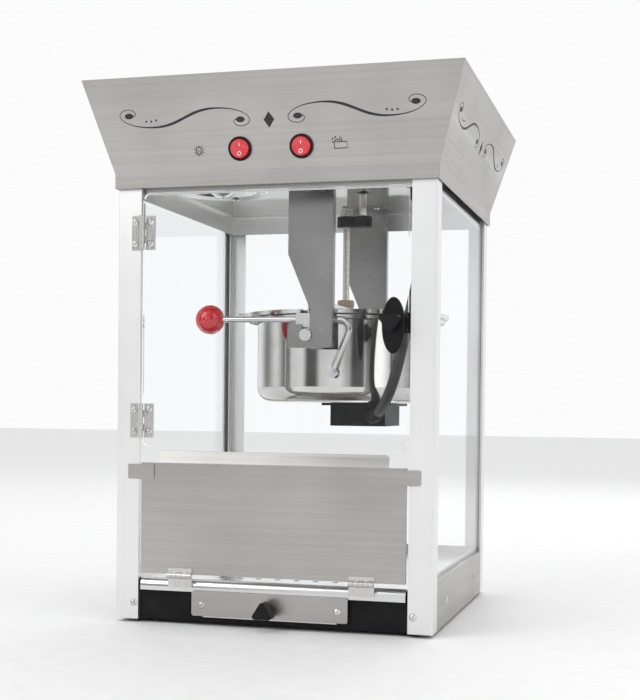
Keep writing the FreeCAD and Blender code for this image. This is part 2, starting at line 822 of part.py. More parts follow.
def build_kettle():
    """Pot, crossbar, ears with their pins, heater, handle and ball."""
    bottom, rim = d.kettle_bottom, d.kettle_rim_z
    wall, radius = d.kettle_wall, d.kettle_radius
    profile = [
        (0, bottom),
        (radius, bottom),
        (radius, rim - wall),
        (d.rim_radius - wall, rim - wall),
        (d.rim_radius - wall, rim - 5),
        (d.rim_radius, rim - 5),
        (d.rim_radius, rim),
        (radius - wall, rim),
        (radius - wall, bottom + wall),
        (0, bottom + wall),
    ]
    pot = turned(profile, d.kettle_x, 0)
    rounded(pot, d.kettle_corner, turned_corner(radius, bottom))
    rounded(pot, d.kettle_corner - wall, turned_corner(radius - wall, bottom + wall))
    rounded(pot, 1.2, turned_corner(d.rim_radius, rim))
    node("kettle_pot", pot)

    middle = d.kettle_x
    half, base = d.bar_half, rim
    reach = d.rim_radius - 4
    top = d.bar_base + d.bar_height
    channel = cut(
        block((middle - half, -reach, base), (middle + half, reach, top)),
        block(
            (middle - half + wall, -reach - 1, base - 1),
            (middle + half - wall, reach + 1, top - wall),
        ),
    )
    bush = cylinder((middle, 0, base), 9, top - base)
    bore = cylinder((middle, 0, base - 1), d.shaft_radius + RUNNING, d.bar_height + 9)
    ears = []
    pins = []
    pin_z = d.bar_base + 2
    for side in (-1, 1):
        pin_x = middle + side * (half + 3.6)
        inner = middle + side * half
        left, right = (pin_x, inner) if side < 0 else (inner, pin_x)
        for place_y in (-98, -30, 30, 98):
            ears.append(block((left, place_y - 1.5, pin_z - 2.6), (right, place_y + 1.5, pin_z + 2.6)))
            ears.append(cylinder((pin_x, place_y - 1.5, pin_z), 2.6, 3, "y"))
        pins.append(cylinder((pin_x, -100, pin_z), d.lid_pin_radius, 200, "y"))
    node("lid_bar", cut(fuse(channel, bush, *ears, *pins), bore))

    reach_y = d.hanger_y - d.steel / 2
    plate_back = d.rod_y - d.rod_radius - 2
    pot_skin = cylinder((middle, 0, bottom), radius, rim - bottom)
    pads = []
    for side in (-1, 1):
        def ear_block(x0, x1, y0, y1, z0, z1):
            low, high = (y0, y1) if side > 0 else (-as_size(y1), -as_size(y0))
            return block((x0, low, z0), (x1, high, z1))

        pivot = d.pivot_x
        plate = ear_block(pivot - 12, pivot + 12, plate_back, plate_back + 2, 308, 346)
        root_block = ear_block(pivot - 9, pivot + 9, 90, plate_back, 309, 318)
        length = reach_y + d.steel + CLEAR - plate_back
        start_y = plate_back if side > 0 else -plate_back - length
        pin = cylinder((pivot, start_y, d.pivot_z), d.pin_radius, length, "y")
        head_y = reach_y + d.steel + CLEAR if side > 0 else -reach_y - d.steel - CLEAR - 3
        head = cylinder((pivot, head_y, d.pivot_z), d.pin_head_radius, 3, "y")
        parts = [plate, root_block, pin, head]
        if side < 0:
            parts.append(ear_block(12, 28, plate_back + 2, reach_y - 0.6, 331, 346.5))
        pads.append(fuse(*parts))
    rod_bore = cylinder((-10, -d.rod_y, d.rod_z), d.rod_radius, 60, "x")
    front_ear = cut(pads[0], pot_skin, rod_bore)
    node("kettle_ears", group(front_ear, cut(pads[1], pot_skin)))

    x0, half = d.heater_x, d.heater_half
    deep = d.heater_depth
    low = bottom - d.heater_height
    flange = d.heater_flange
    case = block((x0 - half, -deep, low), (x0 + half, deep, bottom - 3))
    collar = block(
        (x0 - half - flange, -deep - flange, bottom - 3), (x0 + half + flange, deep + flange, bottom)
    )
    recess = block((x0 - 20, -deep - 1, low + 4), (x0 + half - 4, 1.5 - deep, bottom - 7))
    gland = cylinder(GLAND_START, 9, 16, turn=GLAND_TURN)
    nut = cylinder(GLAND_NUT, 10.5, 5, turn=GLAND_TURN)
    node("heater_box", fuse(cut(case, recess), collar, gland, nut))

    r = d.rod_radius.value
    y = -d.rod_y.value
    z = d.rod_z.value
    points = [
        Vector(-d.ball_x.value + d.ball_radius.value - 2, y, z),
        Vector(78, y, z),
        Vector(53, y, 281),
    ]
    bar = tube(points, r, [11])
    end = Vector(53, y, 281)
    eye = Part.makeCylinder(6, 5, end - Vector(0, 2.5, 0), Vector(0, 1, 0))
    hub = Part.makeCylinder(3, 40, end - Vector(0, 10, 0), Vector(0, 1, 0))
    cap = Part.makeCylinder(4.6, 6, end - Vector(0, 8.5, 0), Vector(0, 1, 0))
    skin = Part.makeCylinder(d.kettle_radius.value, 200, Vector(middle.value, 0, 200))
    lever = bar.fuse([eye, hub, cap]).cut(skin).removeSplitter()
    node("handle_rod", shaped(lever))
    grip = sphere((-d.ball_x, -d.rod_y, d.rod_z), d.ball_radius)
    hole = cylinder((2 - d.ball_x, -d.rod_y, d.rod_z), d.rod_radius, 30, "x")
    socket = block(
        (0 - d.ball_x + d.ball_radius - 2, -d.rod_y - 5, d.rod_z - 5), (0, 5 - d.rod_y, d.rod_z + 5)
    )
    node("handle_ball", cut(grip, common(hole, socket)))


def build_lids():
    """Two hinged half lids; the left one reaches out as a pouring lip."""
    middle = d.kettle_x
    under = d.kettle_rim_z + CLEAR
    top = d.bar_base + 3
    pin_z = d.bar_base + 2
    for side, name in ((-1, "pour_lid"), (1, "fill_lid")):
        pin_x = middle + side * (d.bar_half + 3.6)
        skin = cylinder((middle, 0, under), d.lid_radius, top - under)
        hollow = cylinder((middle, 0, under - 1), d.lid_radius - d.steel, top - under - 0.5)
        disc = cut(skin, hollow)
        if side < 0:
            lip = cylinder((middle - d.pour_reach + 72, 0, top - d.steel), 72, d.steel)
            disc = fuse(disc, lip)
        edge = pin_x + side * 3
        far = middle + side * (d.pour_reach + 5)
        left, right = (far, edge) if side < 0 else (edge, far)
        half_plane = block((left, -130, under - 2), (right, 130, top + 1))
        plate = common(disc, half_plane)
        knuckles = []
        bores = []
        for low, high in ((-96, -32), (32, 96)):
            knuckles.append(cylinder((pin_x, low + 0.4, pin_z), 3.4, high - low - 0.8, "y"))
            bores.append(cylinder((pin_x, low, pin_z), d.lid_pin_radius + RUNNING, high - low, "y"))
        node(name, cut(fuse(plate, *knuckles), *bores))


def gear_shape(x, turn):
    """A spur gear with straight-sided teeth, its axis upright at y = 0."""
    teeth = int(d.gear_teeth.value)
    module = d.gear_module.value
    pitch = teeth * module / 2
    corners = []
    for tooth in range(teeth):
        middle = 2 * math.pi * tooth / teeth + turn
        flank = ((pitch - 1.25 * module, -1.15), (pitch + module, -0.4), (pitch + module, 0.4),
                 (pitch - 1.25 * module, 1.15))
        for radius, half in flank:
            angle = middle + half / radius
            corners.append(Vector(x + radius * math.cos(angle), radius * math.sin(angle), d.gear_z.value))
    face = Part.Face(Part.makePolygon(corners + corners[:1]))
    return face.extrude(Vector(0, 0, d.gear_thick.value))


def build_stirrer():
    """Stirrer shaft, paddle and the pair of gears that drives it."""
    middle = d.kettle_x
    bore_low = Vector(middle.value, 0, 0)
    bore = Part.makeCylinder(d.shaft_radius.value, 600, bore_low)
    half_pitch = math.pi / d.gear_teeth.value
    node("stirrer_gear", shaped(gear_shape(middle.value, half_pitch).cut(bore)))
    drive_x = middle + d.gear_teeth * d.gear_module
    shaft = Part.makeCylinder(d.shaft_radius.value, 55, Vector(drive_x.value, 0, d.gear_z.value))
    node("drive_gear", shaped(gear_shape(drive_x.value, 0).fuse(shaft).removeSplitter()))

    floor = d.kettle_bottom + d.kettle_wall
    low = floor + 1.5
    collar_z = d.bar_base + d.bar_height + 1
    spindle = cylinder((middle, 0, low), d.shaft_radius, d.gear_z + d.gear_thick - low)
    collar = cylinder((middle, 0, collar_z), 8.5, 9)
    neck = cylinder((middle, 0, collar_z + 9), 6.5, 3)
    hub = cylinder((middle, 0, d.gear_z + d.gear_thick), 7.5, 9)
    node("stirrer_shaft", fuse(spindle, collar, neck, hub))
    boss = cylinder((middle, 0, floor + 0.8), 10, 13)
    arms = [
        block((middle + 6, -1, floor + 0.8), (middle + 84, 1.5, floor + 11)),
        block((middle - 84, -1.5, floor + 0.8), (middle - 6, 1, floor + 11)),
    ]
    paddle_bore = cylinder((middle, 0, low), d.shaft_radius, 40)
    node("stirrer_paddle", cut(fuse(boss, *arms), paddle_bore))


def build_lead():
    """The kettle's own supply lead, from the heater gland to the ceiling plug."""
    low = ceiling_z - 6
    seat = cylinder((d.socket_x, -d.socket_y, low), 20, 6)
    inner = cylinder((d.socket_x, -d.socket_y, low - 1), 11, 8 + d.steel)
    collar = cylinder((d.socket_x, -d.socket_y, low + 3), 11.2, 12)
    hollow = cylinder((d.socket_x, -d.socket_y, low + 2), 10, 16)
    node("kettle_socket", cut(fuse(seat, collar), inner, hollow))
    grip_low = low - 22
    body = cylinder((d.socket_x, -d.socket_y, grip_low + 6), 13.5, 15.6)
    neck = cylinder((d.socket_x, -d.socket_y, grip_low), 9, 7)
    tongue = cylinder((d.socket_x, -d.socket_y, grip_low + 20), 9.8, 14)
    node("lead_plug", fuse(body, neck, tongue))
    end = Vector(d.socket_x.value, -d.socket_y.value, as_size(grip_low).value)
    points = [
        GLAND_MOUTH,
        GLAND_MOUTH + GLAND_AIM * 32,
        Vector(120, -117, 264),
        Vector(132, -126, 304),
        Vector(141, -122, 350),
        Vector(146, -101, 396),
        end - Vector(0, 0, 36),
        end,
    ]
    bends = []
    for before, corner, after in zip(points, points[1:], points[2:]):
        run = min((before - corner).Length, (after - corner).Length)
        turn = math.pi - (before - corner).getAngle(after - corner)
        bends.append(0.45 * run / math.tan(turn / 2))
    node("kettle_lead", shaped(tube(points, d.lead_radius.value, bends)))


# ------------------------------------------------------------------ door and drawer
def knuckles(height, radius, first, count=5):
    """Every second segment of a hinge barrel round the local Z axis."""
    step = height / count
    barrel = []
    for index in range(first, count, 2):
        low = step * index - height / 2
        barrel.append(cylinder((0, 0, low + 0.1), radius, step - 0.2))
    return barrel


def leaf(height, reach, seat, side, first, with_pin):
    """One hinge leaf in its own frame: the pin is the Z axis, the leaf lies at +Y."""
    inner = d.knuckle_radius + 0.3
    left, right = (inner, reach) if side > 0 else (-as_size(reach), -inner)
    plate = block((left, seat - d.leaf_thick, -height / 2), (right, seat, height / 2))
    barrel = knuckles(height, d.knuckle_radius, first)
    step = height / 5
    necks = []
    for index in range(first, 5, 2):
        low = step * index - height / 2
        near, far = (0, inner + 0.5) if side > 0 else (-inner - 0.5, 0)
        necks.append(block((near, seat - d.leaf_thick, low + 0.1), (far, seat, low + step - 0.1)))
    hole = d.hinge_pin_radius if with_pin else d.hinge_pin_radius + RUNNING
    bore = cylinder((0, 0, -height), hole, height * 2)
    body = cut(fuse(plate, *barrel, *necks), bore)
    if not with_pin:
        return body
    return fuse(body, cylinder((0, 0, -height / 2), d.hinge_pin_radius, height))


def carried(item, x, y, z, turn=None):
    """An object moved as a whole to its place."""
    holder = group(item)
    return place(holder, x, y, z, turn=turn)


def knob(x, z, face_y, points_up):
    """A small grip with a rounded three-cornered outline on a short neck."""
    half = d.knob_width / 2
    rise = half * 0.8 if points_up else -half * 0.8
    tip, flat = z + rise, z - rise
    outer_y = -d.knob_reach - face_y
    corners = [(x - half, flat), (x + half, flat), (x, tip)]
    head = prism("xz", corners, outer_y, outer_y + d.knob_head)
    rounded(head, d.knob_round, lambda edge: runs_along(edge, Vector(0, 1, 0)))
    inside = outer_y + d.knob_head - 5
    neck = cylinder((x, inside, z - rise * 0.35), d.knob_neck_radius, -face_y - inside, "y")
    return fuse(head, neck)


def build_door():
    """Glass door on two butt hinges, with its knob plate and the magnet catch."""
    half = d.door_half
    pane = prism(
        "xz",
        [(-half, d.door_bottom), (half, d.door_bottom), (half, d.door_top), (-half, d.door_top)],
        -door_front,
        d.glass - door_front,
    )
    rounded(pane, d.door_corner, lambda edge: runs_along(edge, Vector(0, 1, 0)))
    node("door_glass", pane)
    pin_x = -(half + post_inner) / 2 + 0.75
    pin_y = -d.hinge_pin_y
    moving, fixed = [], []
    for z in (d.hinge_low_z, d.hinge_high_z):
        on_glass = leaf(d.hinge_height, 14.5, d.hinge_pin_y - door_front, 1, 1, False)
        on_post = leaf(d.hinge_height, 12.8, d.hinge_pin_y - half_depth, -1, 0, True)
        moving.append(carried(on_glass, pin_x, pin_y, z))
        fixed.append(carried(on_post, pin_x, pin_y, z))
    node("door_hinge_leaves", group(*moving))

    turn = Rotation(Vector(0, 1, 0), -90)
    tops = []
    for side in (-1, 1):
        spot = (side * d.panel_hinge_x, -panel_hinge_y, panel_hinge_z)
        upper = leaf(d.panel_hinge_width, 8, panel_hinge_y - panel_face, 1, 1, False)
        lower = leaf(d.panel_hinge_width, 13, panel_hinge_y - half_depth, -1, 0, True)
        tops.append(carried(upper, *spot, turn=turn))
        fixed.append(carried(lower, *spot, turn=turn))
    node("drop_panel_hinge_leaves", group(*tops))
    node("hinge_leaves_fixed", group(*fixed))

    wide, tall = d.knob_plate_width.value / 2, d.knob_plate_height.value / 2
    centre = Vector(d.knob_x.value, -door_front.value, d.knob_z.value)
    rim = Part.Ellipse(centre + Vector(0, 0, tall), centre + Vector(wide, 0, 0), centre).toShape()
    plate = Part.Face(Part.Wire([rim])).extrude(Vector(0, -d.knob_plate_thick.value, 0))
    front_edge = [e for e in plate.Edges if abs(e.CenterOfMass.y - centre.y + d.knob_plate_thick.value) < 0.1]
    node("door_knob_plate", shaped(plate.makeFillet(1.4, front_edge)))
    face_y = door_front + d.knob_plate_thick
    node("door_knob", knob(d.knob_x, d.knob_z, face_y, points_up=False))

    edge = post_inner
    block_back = -door_front + d.glass + 0.7
    magnet = block((edge - 7, block_back, 321), (edge - 0.4, block_back + 12, 343))
    arm = block((edge - 2, block_back + 10, 325), (rib_inner - 0.1, block_back + 12, 339))
    node("magnet_catch", fuse(magnet, arm))


def build_drop_panel():
    """Stainless lower front that folds outwards, with its two stop ears."""
    half = d.tray_lip_half - 0.3
    wall = d.steel
    skin = block((-half, -panel_face, d.panel_bottom), (half, wall - panel_face, d.panel_top))
    flanges = []
    for side in (-1, 1):
        left, right = (-half, 1 - half) if side < 0 else (half - 1, half)
        flanges.append(block((left, -panel_face, d.panel_bottom), (right, 6 - panel_face, d.panel_top)))
    lip_half = d.panel_lip_half
    lean_y = d.panel_lip_lean
    lip = prism(
        "yz",
        [
            (-panel_face, d.panel_top),
            (wall - panel_face, d.panel_top),
            (wall + lean_y - panel_face, d.panel_lip_top),
            (lean_y - panel_face, d.panel_lip_top),
        ],
        -lip_half,
        lip_half,
    )
    shape_of_lip = prism(
        "xz",
        [
            (-lip_half, d.panel_top - 20),
            (lip_half, d.panel_top - 20),
            (lip_half, d.panel_lip_top),
            (-lip_half, d.panel_lip_top),
        ],
        -panel_face - 1,
        20 - panel_face,
    )
    rounded(shape_of_lip, 5, lambda edge: runs_along(edge, Vector(0, 1, 0)))
    node("drop_panel", fuse(skin, *flanges, common(lip, shape_of_lip)))
    ears = []
    top = d.panel_top - d.ear_drop
    for side in (-1, 1):
        left = d.ear_inner if side > 0 else -d.ear_outer
        right = d.ear_outer if side > 0 else -d.ear_inner
        strap = prism(
            "xz",
            [(left, top - d.ear_height), (right, top - d.ear_height), (right, top), (left, top)],
            -panel_face - wall,
            -panel_face,
        )
        ears.append(rounded(strap, 2, lambda edge: runs_along(edge, Vector(0, 1, 0))))
    node("drop_panel_ears", group(*ears))


drawer_face = half_depth + 2.6


def build_drawer():
    """Crumb drawer under the tray, with its front plate and knob."""
    half, wall = d.drawer_half, 1.2
    front = drawer_face - 2
    back = d.drawer_length - front
    shell = block((-half, -front, d.drawer_bottom), (half, back, d.drawer_top))
    hollow = block(
        (wall - half, wall - front, d.drawer_bottom + wall), (half - wall, back - wall, d.drawer_top + 1)
    )
    node("drawer_box", cut(shell, hollow))
    wide = d.drawer_front_half
    low, high = d.drawer_front_bottom, d.drawer_front_top
    corners = [(-wide, low), (wide, low), (wide, high), (-wide, high)]
    plate = prism("xz", corners, -drawer_face, 2 - drawer_face)
    rounded(plate, 2.5, lambda edge: runs_along(edge, Vector(0, 1, 0)))
    node("drawer_front", plate)
    node("drawer_knob", knob(0, (low + high) / 2, drawer_face, points_up=True))


# ----------------------------------------------------------------------- fasteners
def screw(at, aim, head=None, shank=3):
    """A pan-head screw with a cross recess; the point is under its head."""
    radius = (head or d.screw_head).value
    rise = 0.55 * radius
    ball_radius = (radius ** 2 + rise ** 2) / (2 * rise)
    top = Part.makeSphere(ball_radius, Vector(0, 0, rise - ball_radius))
    cap = top.common(Part.makeCylinder(radius, rise + 1, Vector(0, 0, 0)))
    arm = radius * 1.1
    slot = Part.makeBox(arm, 0.8, rise, Vector(-arm / 2, -0.4, rise * 0.5))
    across = Part.makeBox(0.8, arm, rise, Vector(-0.4, -arm / 2, rise * 0.5))
    body = cap.fuse(Part.makeCylinder(d.screw_shank.value, shank, Vector(0, 0, -shank)))
    body = body.cut(slot.fuse(across))
    body.Placement = FreeCAD.Placement(Vector(*at), Rotation(Vector(0, 0, 1), Vector(*aim)))
    return body


def build_screws():
    """Screws of the cabinet, the door and the drawer."""
    front, rear, down, up = (0, -1, 0), (0, 1, 0), (0, 0, -1), (0, 0, 1)
    cabinet = []
    post_x = half_width.value - 21.3
    for x in (-post_x, post_x):
        cabinet.append(screw((x, -half_depth.value, 22), front))
        cabinet.append(screw((x, half_depth.value, 22), rear))
    for x in (-half_width.value, half_width.value):
        aim = (math.copysign(1, x), 0, 0)
        for y in (-100, 100):
            cabinet.append(screw((x, y, 30), aim))
    leaf_x = -(d.door_half + post_inner).value / 2 + 0.75
    for z in (d.hinge_low_z.value, d.hinge_high_z.value):
        for offset in (-12, 12):
            at = (leaf_x - 8.4, -half_depth.value - d.leaf_thick.value, z + offset)
            cabinet.append(screw(at, front, shank=2.5))
    for x in (-canopy_x.value + 9, canopy_x.value - 9):
        for y in (-150, 0, 150):
            cabinet.append(screw((x, y, canopy_z.value), up))
    for angle in (90, 210, 330):
        turn = math.radians(angle)
        spot = (-d.lamp_x.value + 49 * math.cos(turn), -d.lamp_y.value + 49 * math.sin(turn))
        cabinet.append(screw((*spot, (ceiling_z - 4).value), down))
    foot_z = (ceiling_z - d.steel).value
    for y in (-115, 115):
        for x in (14, 46):
            cabinet.append(screw((x, y, foot_z), down))
    node("cabinet_screws", shaped(Part.makeCompound(cabinet)))

    door = []
    leaf_y = -(door_front + d.leaf_thick).value
    for z in (d.hinge_low_z.value, d.hinge_high_z.value):
        for offset in (-12, 12):
            door.append(screw((leaf_x + 9, leaf_y, z + offset), front, shank=2.5))
    node("door_screws", shaped(Part.makeCompound(door)))
    drawer = []
    middle = ((d.drawer_front_bottom + d.drawer_front_top) / 2).value - 1.5
    for x in (-d.drawer_screw_x.value, d.drawer_screw_x.value):
        drawer.append(screw((x, -drawer_face.value, middle), front))
    node("drawer_screws", shaped(Part.makeCompound(drawer)))


build_frame()
build_base()
build_canopy()
build_ceiling()
build_switches()
build_kettle()
build_lids()
build_stirrer()
build_lead()
build_door()
build_drop_panel()
build_drawer()
build_screws()
doc.recompute()

failed = [item.Label for item in doc.Objects if {"Invalid", "Error"} & set(item.State)]
if failed:
    raise ValueError("these objects failed: " + ", ".join(failed))
os.makedirs("parts", exist_ok=True)
for item in nodes:
    shape = item.Shape
    if shape.isNull() or not shape.isValid():
        raise ValueError(item.Label + " has no valid shape")
    shape.exportStep("parts/%s.step" % item.Label)
print(len(nodes), "sub-parts written")
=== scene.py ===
"""Looks for the tabletop popcorn maker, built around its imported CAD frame.

Everything is in metres in the frame of the part: +X is the user's right, +Y points away
from the user and +Z is up.
"""

import json
import math

import bmesh
import bpy
from mathutils import Matrix, Vector
from mathutils.bvhtree import BVHTree


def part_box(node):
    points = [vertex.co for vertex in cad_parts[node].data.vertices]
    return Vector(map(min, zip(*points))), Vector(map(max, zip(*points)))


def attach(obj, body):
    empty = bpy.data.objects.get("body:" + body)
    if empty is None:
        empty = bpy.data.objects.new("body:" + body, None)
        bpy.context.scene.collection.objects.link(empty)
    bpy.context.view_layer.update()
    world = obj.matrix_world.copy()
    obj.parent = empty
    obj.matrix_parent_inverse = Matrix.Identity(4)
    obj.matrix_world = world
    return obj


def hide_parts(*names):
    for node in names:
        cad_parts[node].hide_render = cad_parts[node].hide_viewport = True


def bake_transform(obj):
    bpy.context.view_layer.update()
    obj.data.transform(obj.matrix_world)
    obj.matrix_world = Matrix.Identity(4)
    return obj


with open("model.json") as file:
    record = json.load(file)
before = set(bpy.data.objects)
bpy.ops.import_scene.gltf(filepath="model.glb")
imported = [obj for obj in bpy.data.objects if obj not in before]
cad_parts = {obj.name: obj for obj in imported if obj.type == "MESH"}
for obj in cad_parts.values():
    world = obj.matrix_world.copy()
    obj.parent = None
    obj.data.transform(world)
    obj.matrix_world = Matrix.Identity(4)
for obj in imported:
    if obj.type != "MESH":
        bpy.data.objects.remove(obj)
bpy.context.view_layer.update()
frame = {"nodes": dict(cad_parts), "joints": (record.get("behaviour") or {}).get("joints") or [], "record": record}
MM = 0.001


# ---------------------------------------------------------------------- camera
# Fitted to the cabinet's corners in the photo.
CAMERA_PLACE = Vector((0.425, -1.505, 0.245))
CAMERA_TURNS = (14.97, 0.69, 0.63)      # degrees to the left, down and over
CAMERA_LENS, CAMERA_SENSOR = 66.1, 36
CAMERA_SHIFT = (-0.02, 0.1)


def aim_camera():
    """A long lens from low in front, a little to the right of the door."""
    data = bpy.data.cameras.new("camera")
    data.lens = CAMERA_LENS
    data.sensor_width = CAMERA_SENSOR
    data.shift_x, data.shift_y = CAMERA_SHIFT
    camera = bpy.data.objects.new("camera", data)
    bpy.context.scene.collection.objects.link(camera)
    yaw, pitch, roll = (math.radians(a) for a in CAMERA_TURNS)
    ahead = Vector(
        (-math.sin(yaw) * math.cos(pitch), math.cos(yaw) * math.cos(pitch), -math.sin(pitch))
    )
    level = ahead.cross(Vector((0, 0, 1))).normalized()
    upright = level.cross(ahead)
    right = level * math.cos(roll) + upright * math.sin(roll)
    up = upright * math.cos(roll) - level * math.sin(roll)
    place = Matrix((right, up, -ahead)).transposed().to_4x4()
    place.translation = CAMERA_PLACE
    camera.matrix_world = place
    bpy.context.scene.camera = camera


# ------------------------------------------------------------------- materials
class Look:
    """A node material with one Principled shader, and helpers to feed it."""

    def __init__(self, name, colour, roughness, metallic=0.0, **constants):
        self.material = bpy.data.materials.new(name)
        self.material.use_nodes = True
        self.tree = self.material.node_tree
        self.shader = self.tree.nodes["Principled BSDF"]
        self.shader.inputs["Base Color"].default_value = (*colour, 1)
        self.shader.inputs["Roughness"].default_value = roughness
        self.shader.inputs["Metallic"].default_value = metallic
        for socket, number in constants.items():
            self.shader.inputs[socket.replace("_", " ")].default_value = number
        self.normal = None

    def node(self, kind, **settings):
        made = self.tree.nodes.new(kind)
        for name, setting in settings.items():
            setattr(made, name, setting)
        return made

    def link(self, source, target):
        self.tree.links.new(source, target)

    def coordinates(self, stretch):
        """Object coordinates in metres, multiplied by a number for each axis."""
        place = self.node("ShaderNodeTexCoord")
        scale = self.node("ShaderNodeMapping")
        scale.inputs["Scale"].default_value = stretch
        self.link(place.outputs["Object"], scale.inputs["Vector"])
        return scale.outputs["Vector"]

    def noise(self, stretch, detail=3.0, roughness=0.55):
        made = self.node("ShaderNodeTexNoise")
        made.inputs["Scale"].default_value = 1.0
        made.inputs["Detail"].default_value = detail
        made.inputs["Roughness"].default_value = roughness
        self.link(self.coordinates(stretch), made.inputs["Vector"])
        return made.outputs["Fac"]

    def spread(self, source, low, high, start=0.3, end=0.7):
        """The source's middle range, mapped to low...high."""
        made = self.node("ShaderNodeMapRange")
        for name, number in (("From Min", start), ("From Max", end), ("To Min", low), ("To Max", high)):
            made.inputs[name].default_value = number
        self.link(source, made.inputs["Value"])
        return made.outputs["Result"]

    def blend(self, share, dark, light):
        """A colour between two, either of which may be another node's output."""
        made = self.node("ShaderNodeMix", data_type="RGBA")
        self.link(share, made.inputs[0])
        for socket, colour in ((made.inputs[6], dark), (made.inputs[7], light)):
            if isinstance(colour, tuple):
                socket.default_value = (*colour, 1)
            else:
                self.link(colour, socket)
        return made.outputs[2]

    def colour(self, source):
        self.link(source, self.shader.inputs["Base Color"])

    def rough(self, source):
        self.link(source, self.shader.inputs["Roughness"])

    def soft_edges(self, radius):
        """Rounds the look of sharp sheet edges by a fraction of a millimetre."""
        made = self.node("ShaderNodeBevel", samples=4)
        made.inputs["Radius"].default_value = radius
        self.normal = made.outputs["Normal"]
        self.link(self.normal, self.shader.inputs["Normal"])

    def bump(self, source, strength, distance):
        made = self.node("ShaderNodeBump")
        made.inputs["Strength"].default_value = strength
        made.inputs["Distance"].default_value = distance
        self.link(source, made.inputs["Height"])
        if self.normal is not None:
            self.link(self.normal, made.inputs["Normal"])
        self.normal = made.outputs["Normal"]
        self.link(self.normal, self.shader.inputs["Normal"])


def brushed(name, dark, light, smooth, coarse, grain, lines=0.5, lift=0.12, **constants):
    """Sheet metal with straight brushing; grain stretches the brushing's noise."""
    look = Look(name, light, smooth, 1.0, **constants)
    look.soft_edges(0.5 * MM)
    fine = look.noise(grain, 4, 0.65)
    broad = look.noise(tuple(0.22 * g for g in grain), 2)
    cloud = look.noise((9, 9, 11), 2)
    middle = tuple((a + b) / 2 for a, b in zip(dark, light))
    body = look.blend(look.spread(cloud, 0, 1), middle, light)
    body = look.blend(look.spread(broad, 0, lines), body, dark)
    look.colour(look.blend(look.spread(fine, lines, 0), body, light))
    look.rough(look.spread(fine, smooth, coarse))
    look.bump(fine, lift, 0.02 * MM)
    return look.material


def polished(name, dark, light, smooth, coarse, ripple=0.04):
    """Polished sheet with faint wear and a little haze."""
    look = Look(name, light, smooth, 1.0)
    look.soft_edges(0.6 * MM)
    haze = look.noise((14, 14, 20), 4)
    rings = look.noise((3, 3, 420), 3)
    look.colour(look.blend(look.spread(haze, 0, 1), dark, light))
    look.rough(look.spread(haze, smooth, coarse))
    look.bump(rings, ripple, 0.03 * MM)
    return look.material


def moulded(name, dark, light, smooth, coarse, lift=0.25, edge=0.6, **constants):
    """Moulded or painted surface with a fine grain."""
    look = Look(name, light, smooth, **constants)
    look.soft_edges(edge * MM)
    grain = look.noise((1500, 1500, 1500), 2)
    patch = look.noise((40, 40, 40), 3)
    look.colour(look.blend(look.spread(patch, 0, 1), dark, light))
    look.rough(look.spread(patch, smooth, coarse))
    look.bump(grain, lift, 0.05 * MM)
    return look.material


def glazed(name, tint, smooth, bend=1.45):
    """Clear glass that lets lamps through, with faint smears."""
    look = Look(name, tint, smooth, Transmission_Weight=1.0, IOR=bend)
    smear = look.noise((7, 7, 5), 4)
    look.rough(look.spread(smear, 0, smooth, 0.45, 0.8))
    clear = look.node("ShaderNodeBsdfTransparent")
    clear.inputs["Color"].default_value = (*(0.5 + 0.5 * t for t in tint), 1)
    path = look.node("ShaderNodeLightPath")
    both = look.node("ShaderNodeMixShader")
    surface = look.tree.nodes["Material Output"].inputs["Surface"]
    look.link(path.outputs["Is Shadow Ray"], both.inputs["Fac"])
    look.link(look.shader.outputs["BSDF"], both.inputs[1])
    look.link(clear.outputs["BSDF"], both.inputs[2])
    look.link(both.outputs["Shader"], surface)
    return look.material


def lead_sleeve():
    """A black braided sleeve."""
    look = Look("lead_sleeve", (0.022, 0.022, 0.024), 0.55, Coat_Weight=0.12, Coat_Roughness=0.4)
    weave = look.node("ShaderNodeTexVoronoi")
    weave.inputs["Scale"].default_value = 1.0
    look.link(look.coordinates((900, 900, 620)), weave.inputs["Vector"])
    patch = look.noise((60, 60, 60), 3)
    look.colour(look.blend(look.spread(patch, 0, 1), (0.014, 0.014, 0.015), (0.04, 0.04, 0.042)))
    look.rough(look.spread(weave.outputs["Distance"], 0.38, 0.62, 0, 0.8))
    look.bump(weave.outputs["Distance"], 0.35, 0.15 * MM)
    return look.material


def red_lens():
    """Translucent red plastic over a small lamp."""
    look = Look(
        "red_lens", (0.62, 0.012, 0.02), 0.18,
        Coat_Weight=0.8, Coat_Roughness=0.05, Subsurface_Weight=0.25, Subsurface_Scale=0.003,
        Emission_Strength=0.08,
    )
    look.shader.inputs["Emission Color"].default_value = (1.0, 0.04, 0.05, 1)
    swirl = look.noise((160, 160, 160), 3)
    look.colour(look.blend(look.spread(swirl, 0, 1), (0.42, 0.008, 0.014), (0.66, 0.03, 0.04)))
    look.rough(look.spread(swirl, 0.14, 0.24))
    return look.material


STEEL_DARK, STEEL_LIGHT = (0.34, 0.33, 0.315), (0.52, 0.505, 0.485)
ALONG_WALLS = (5, 5, 1300)


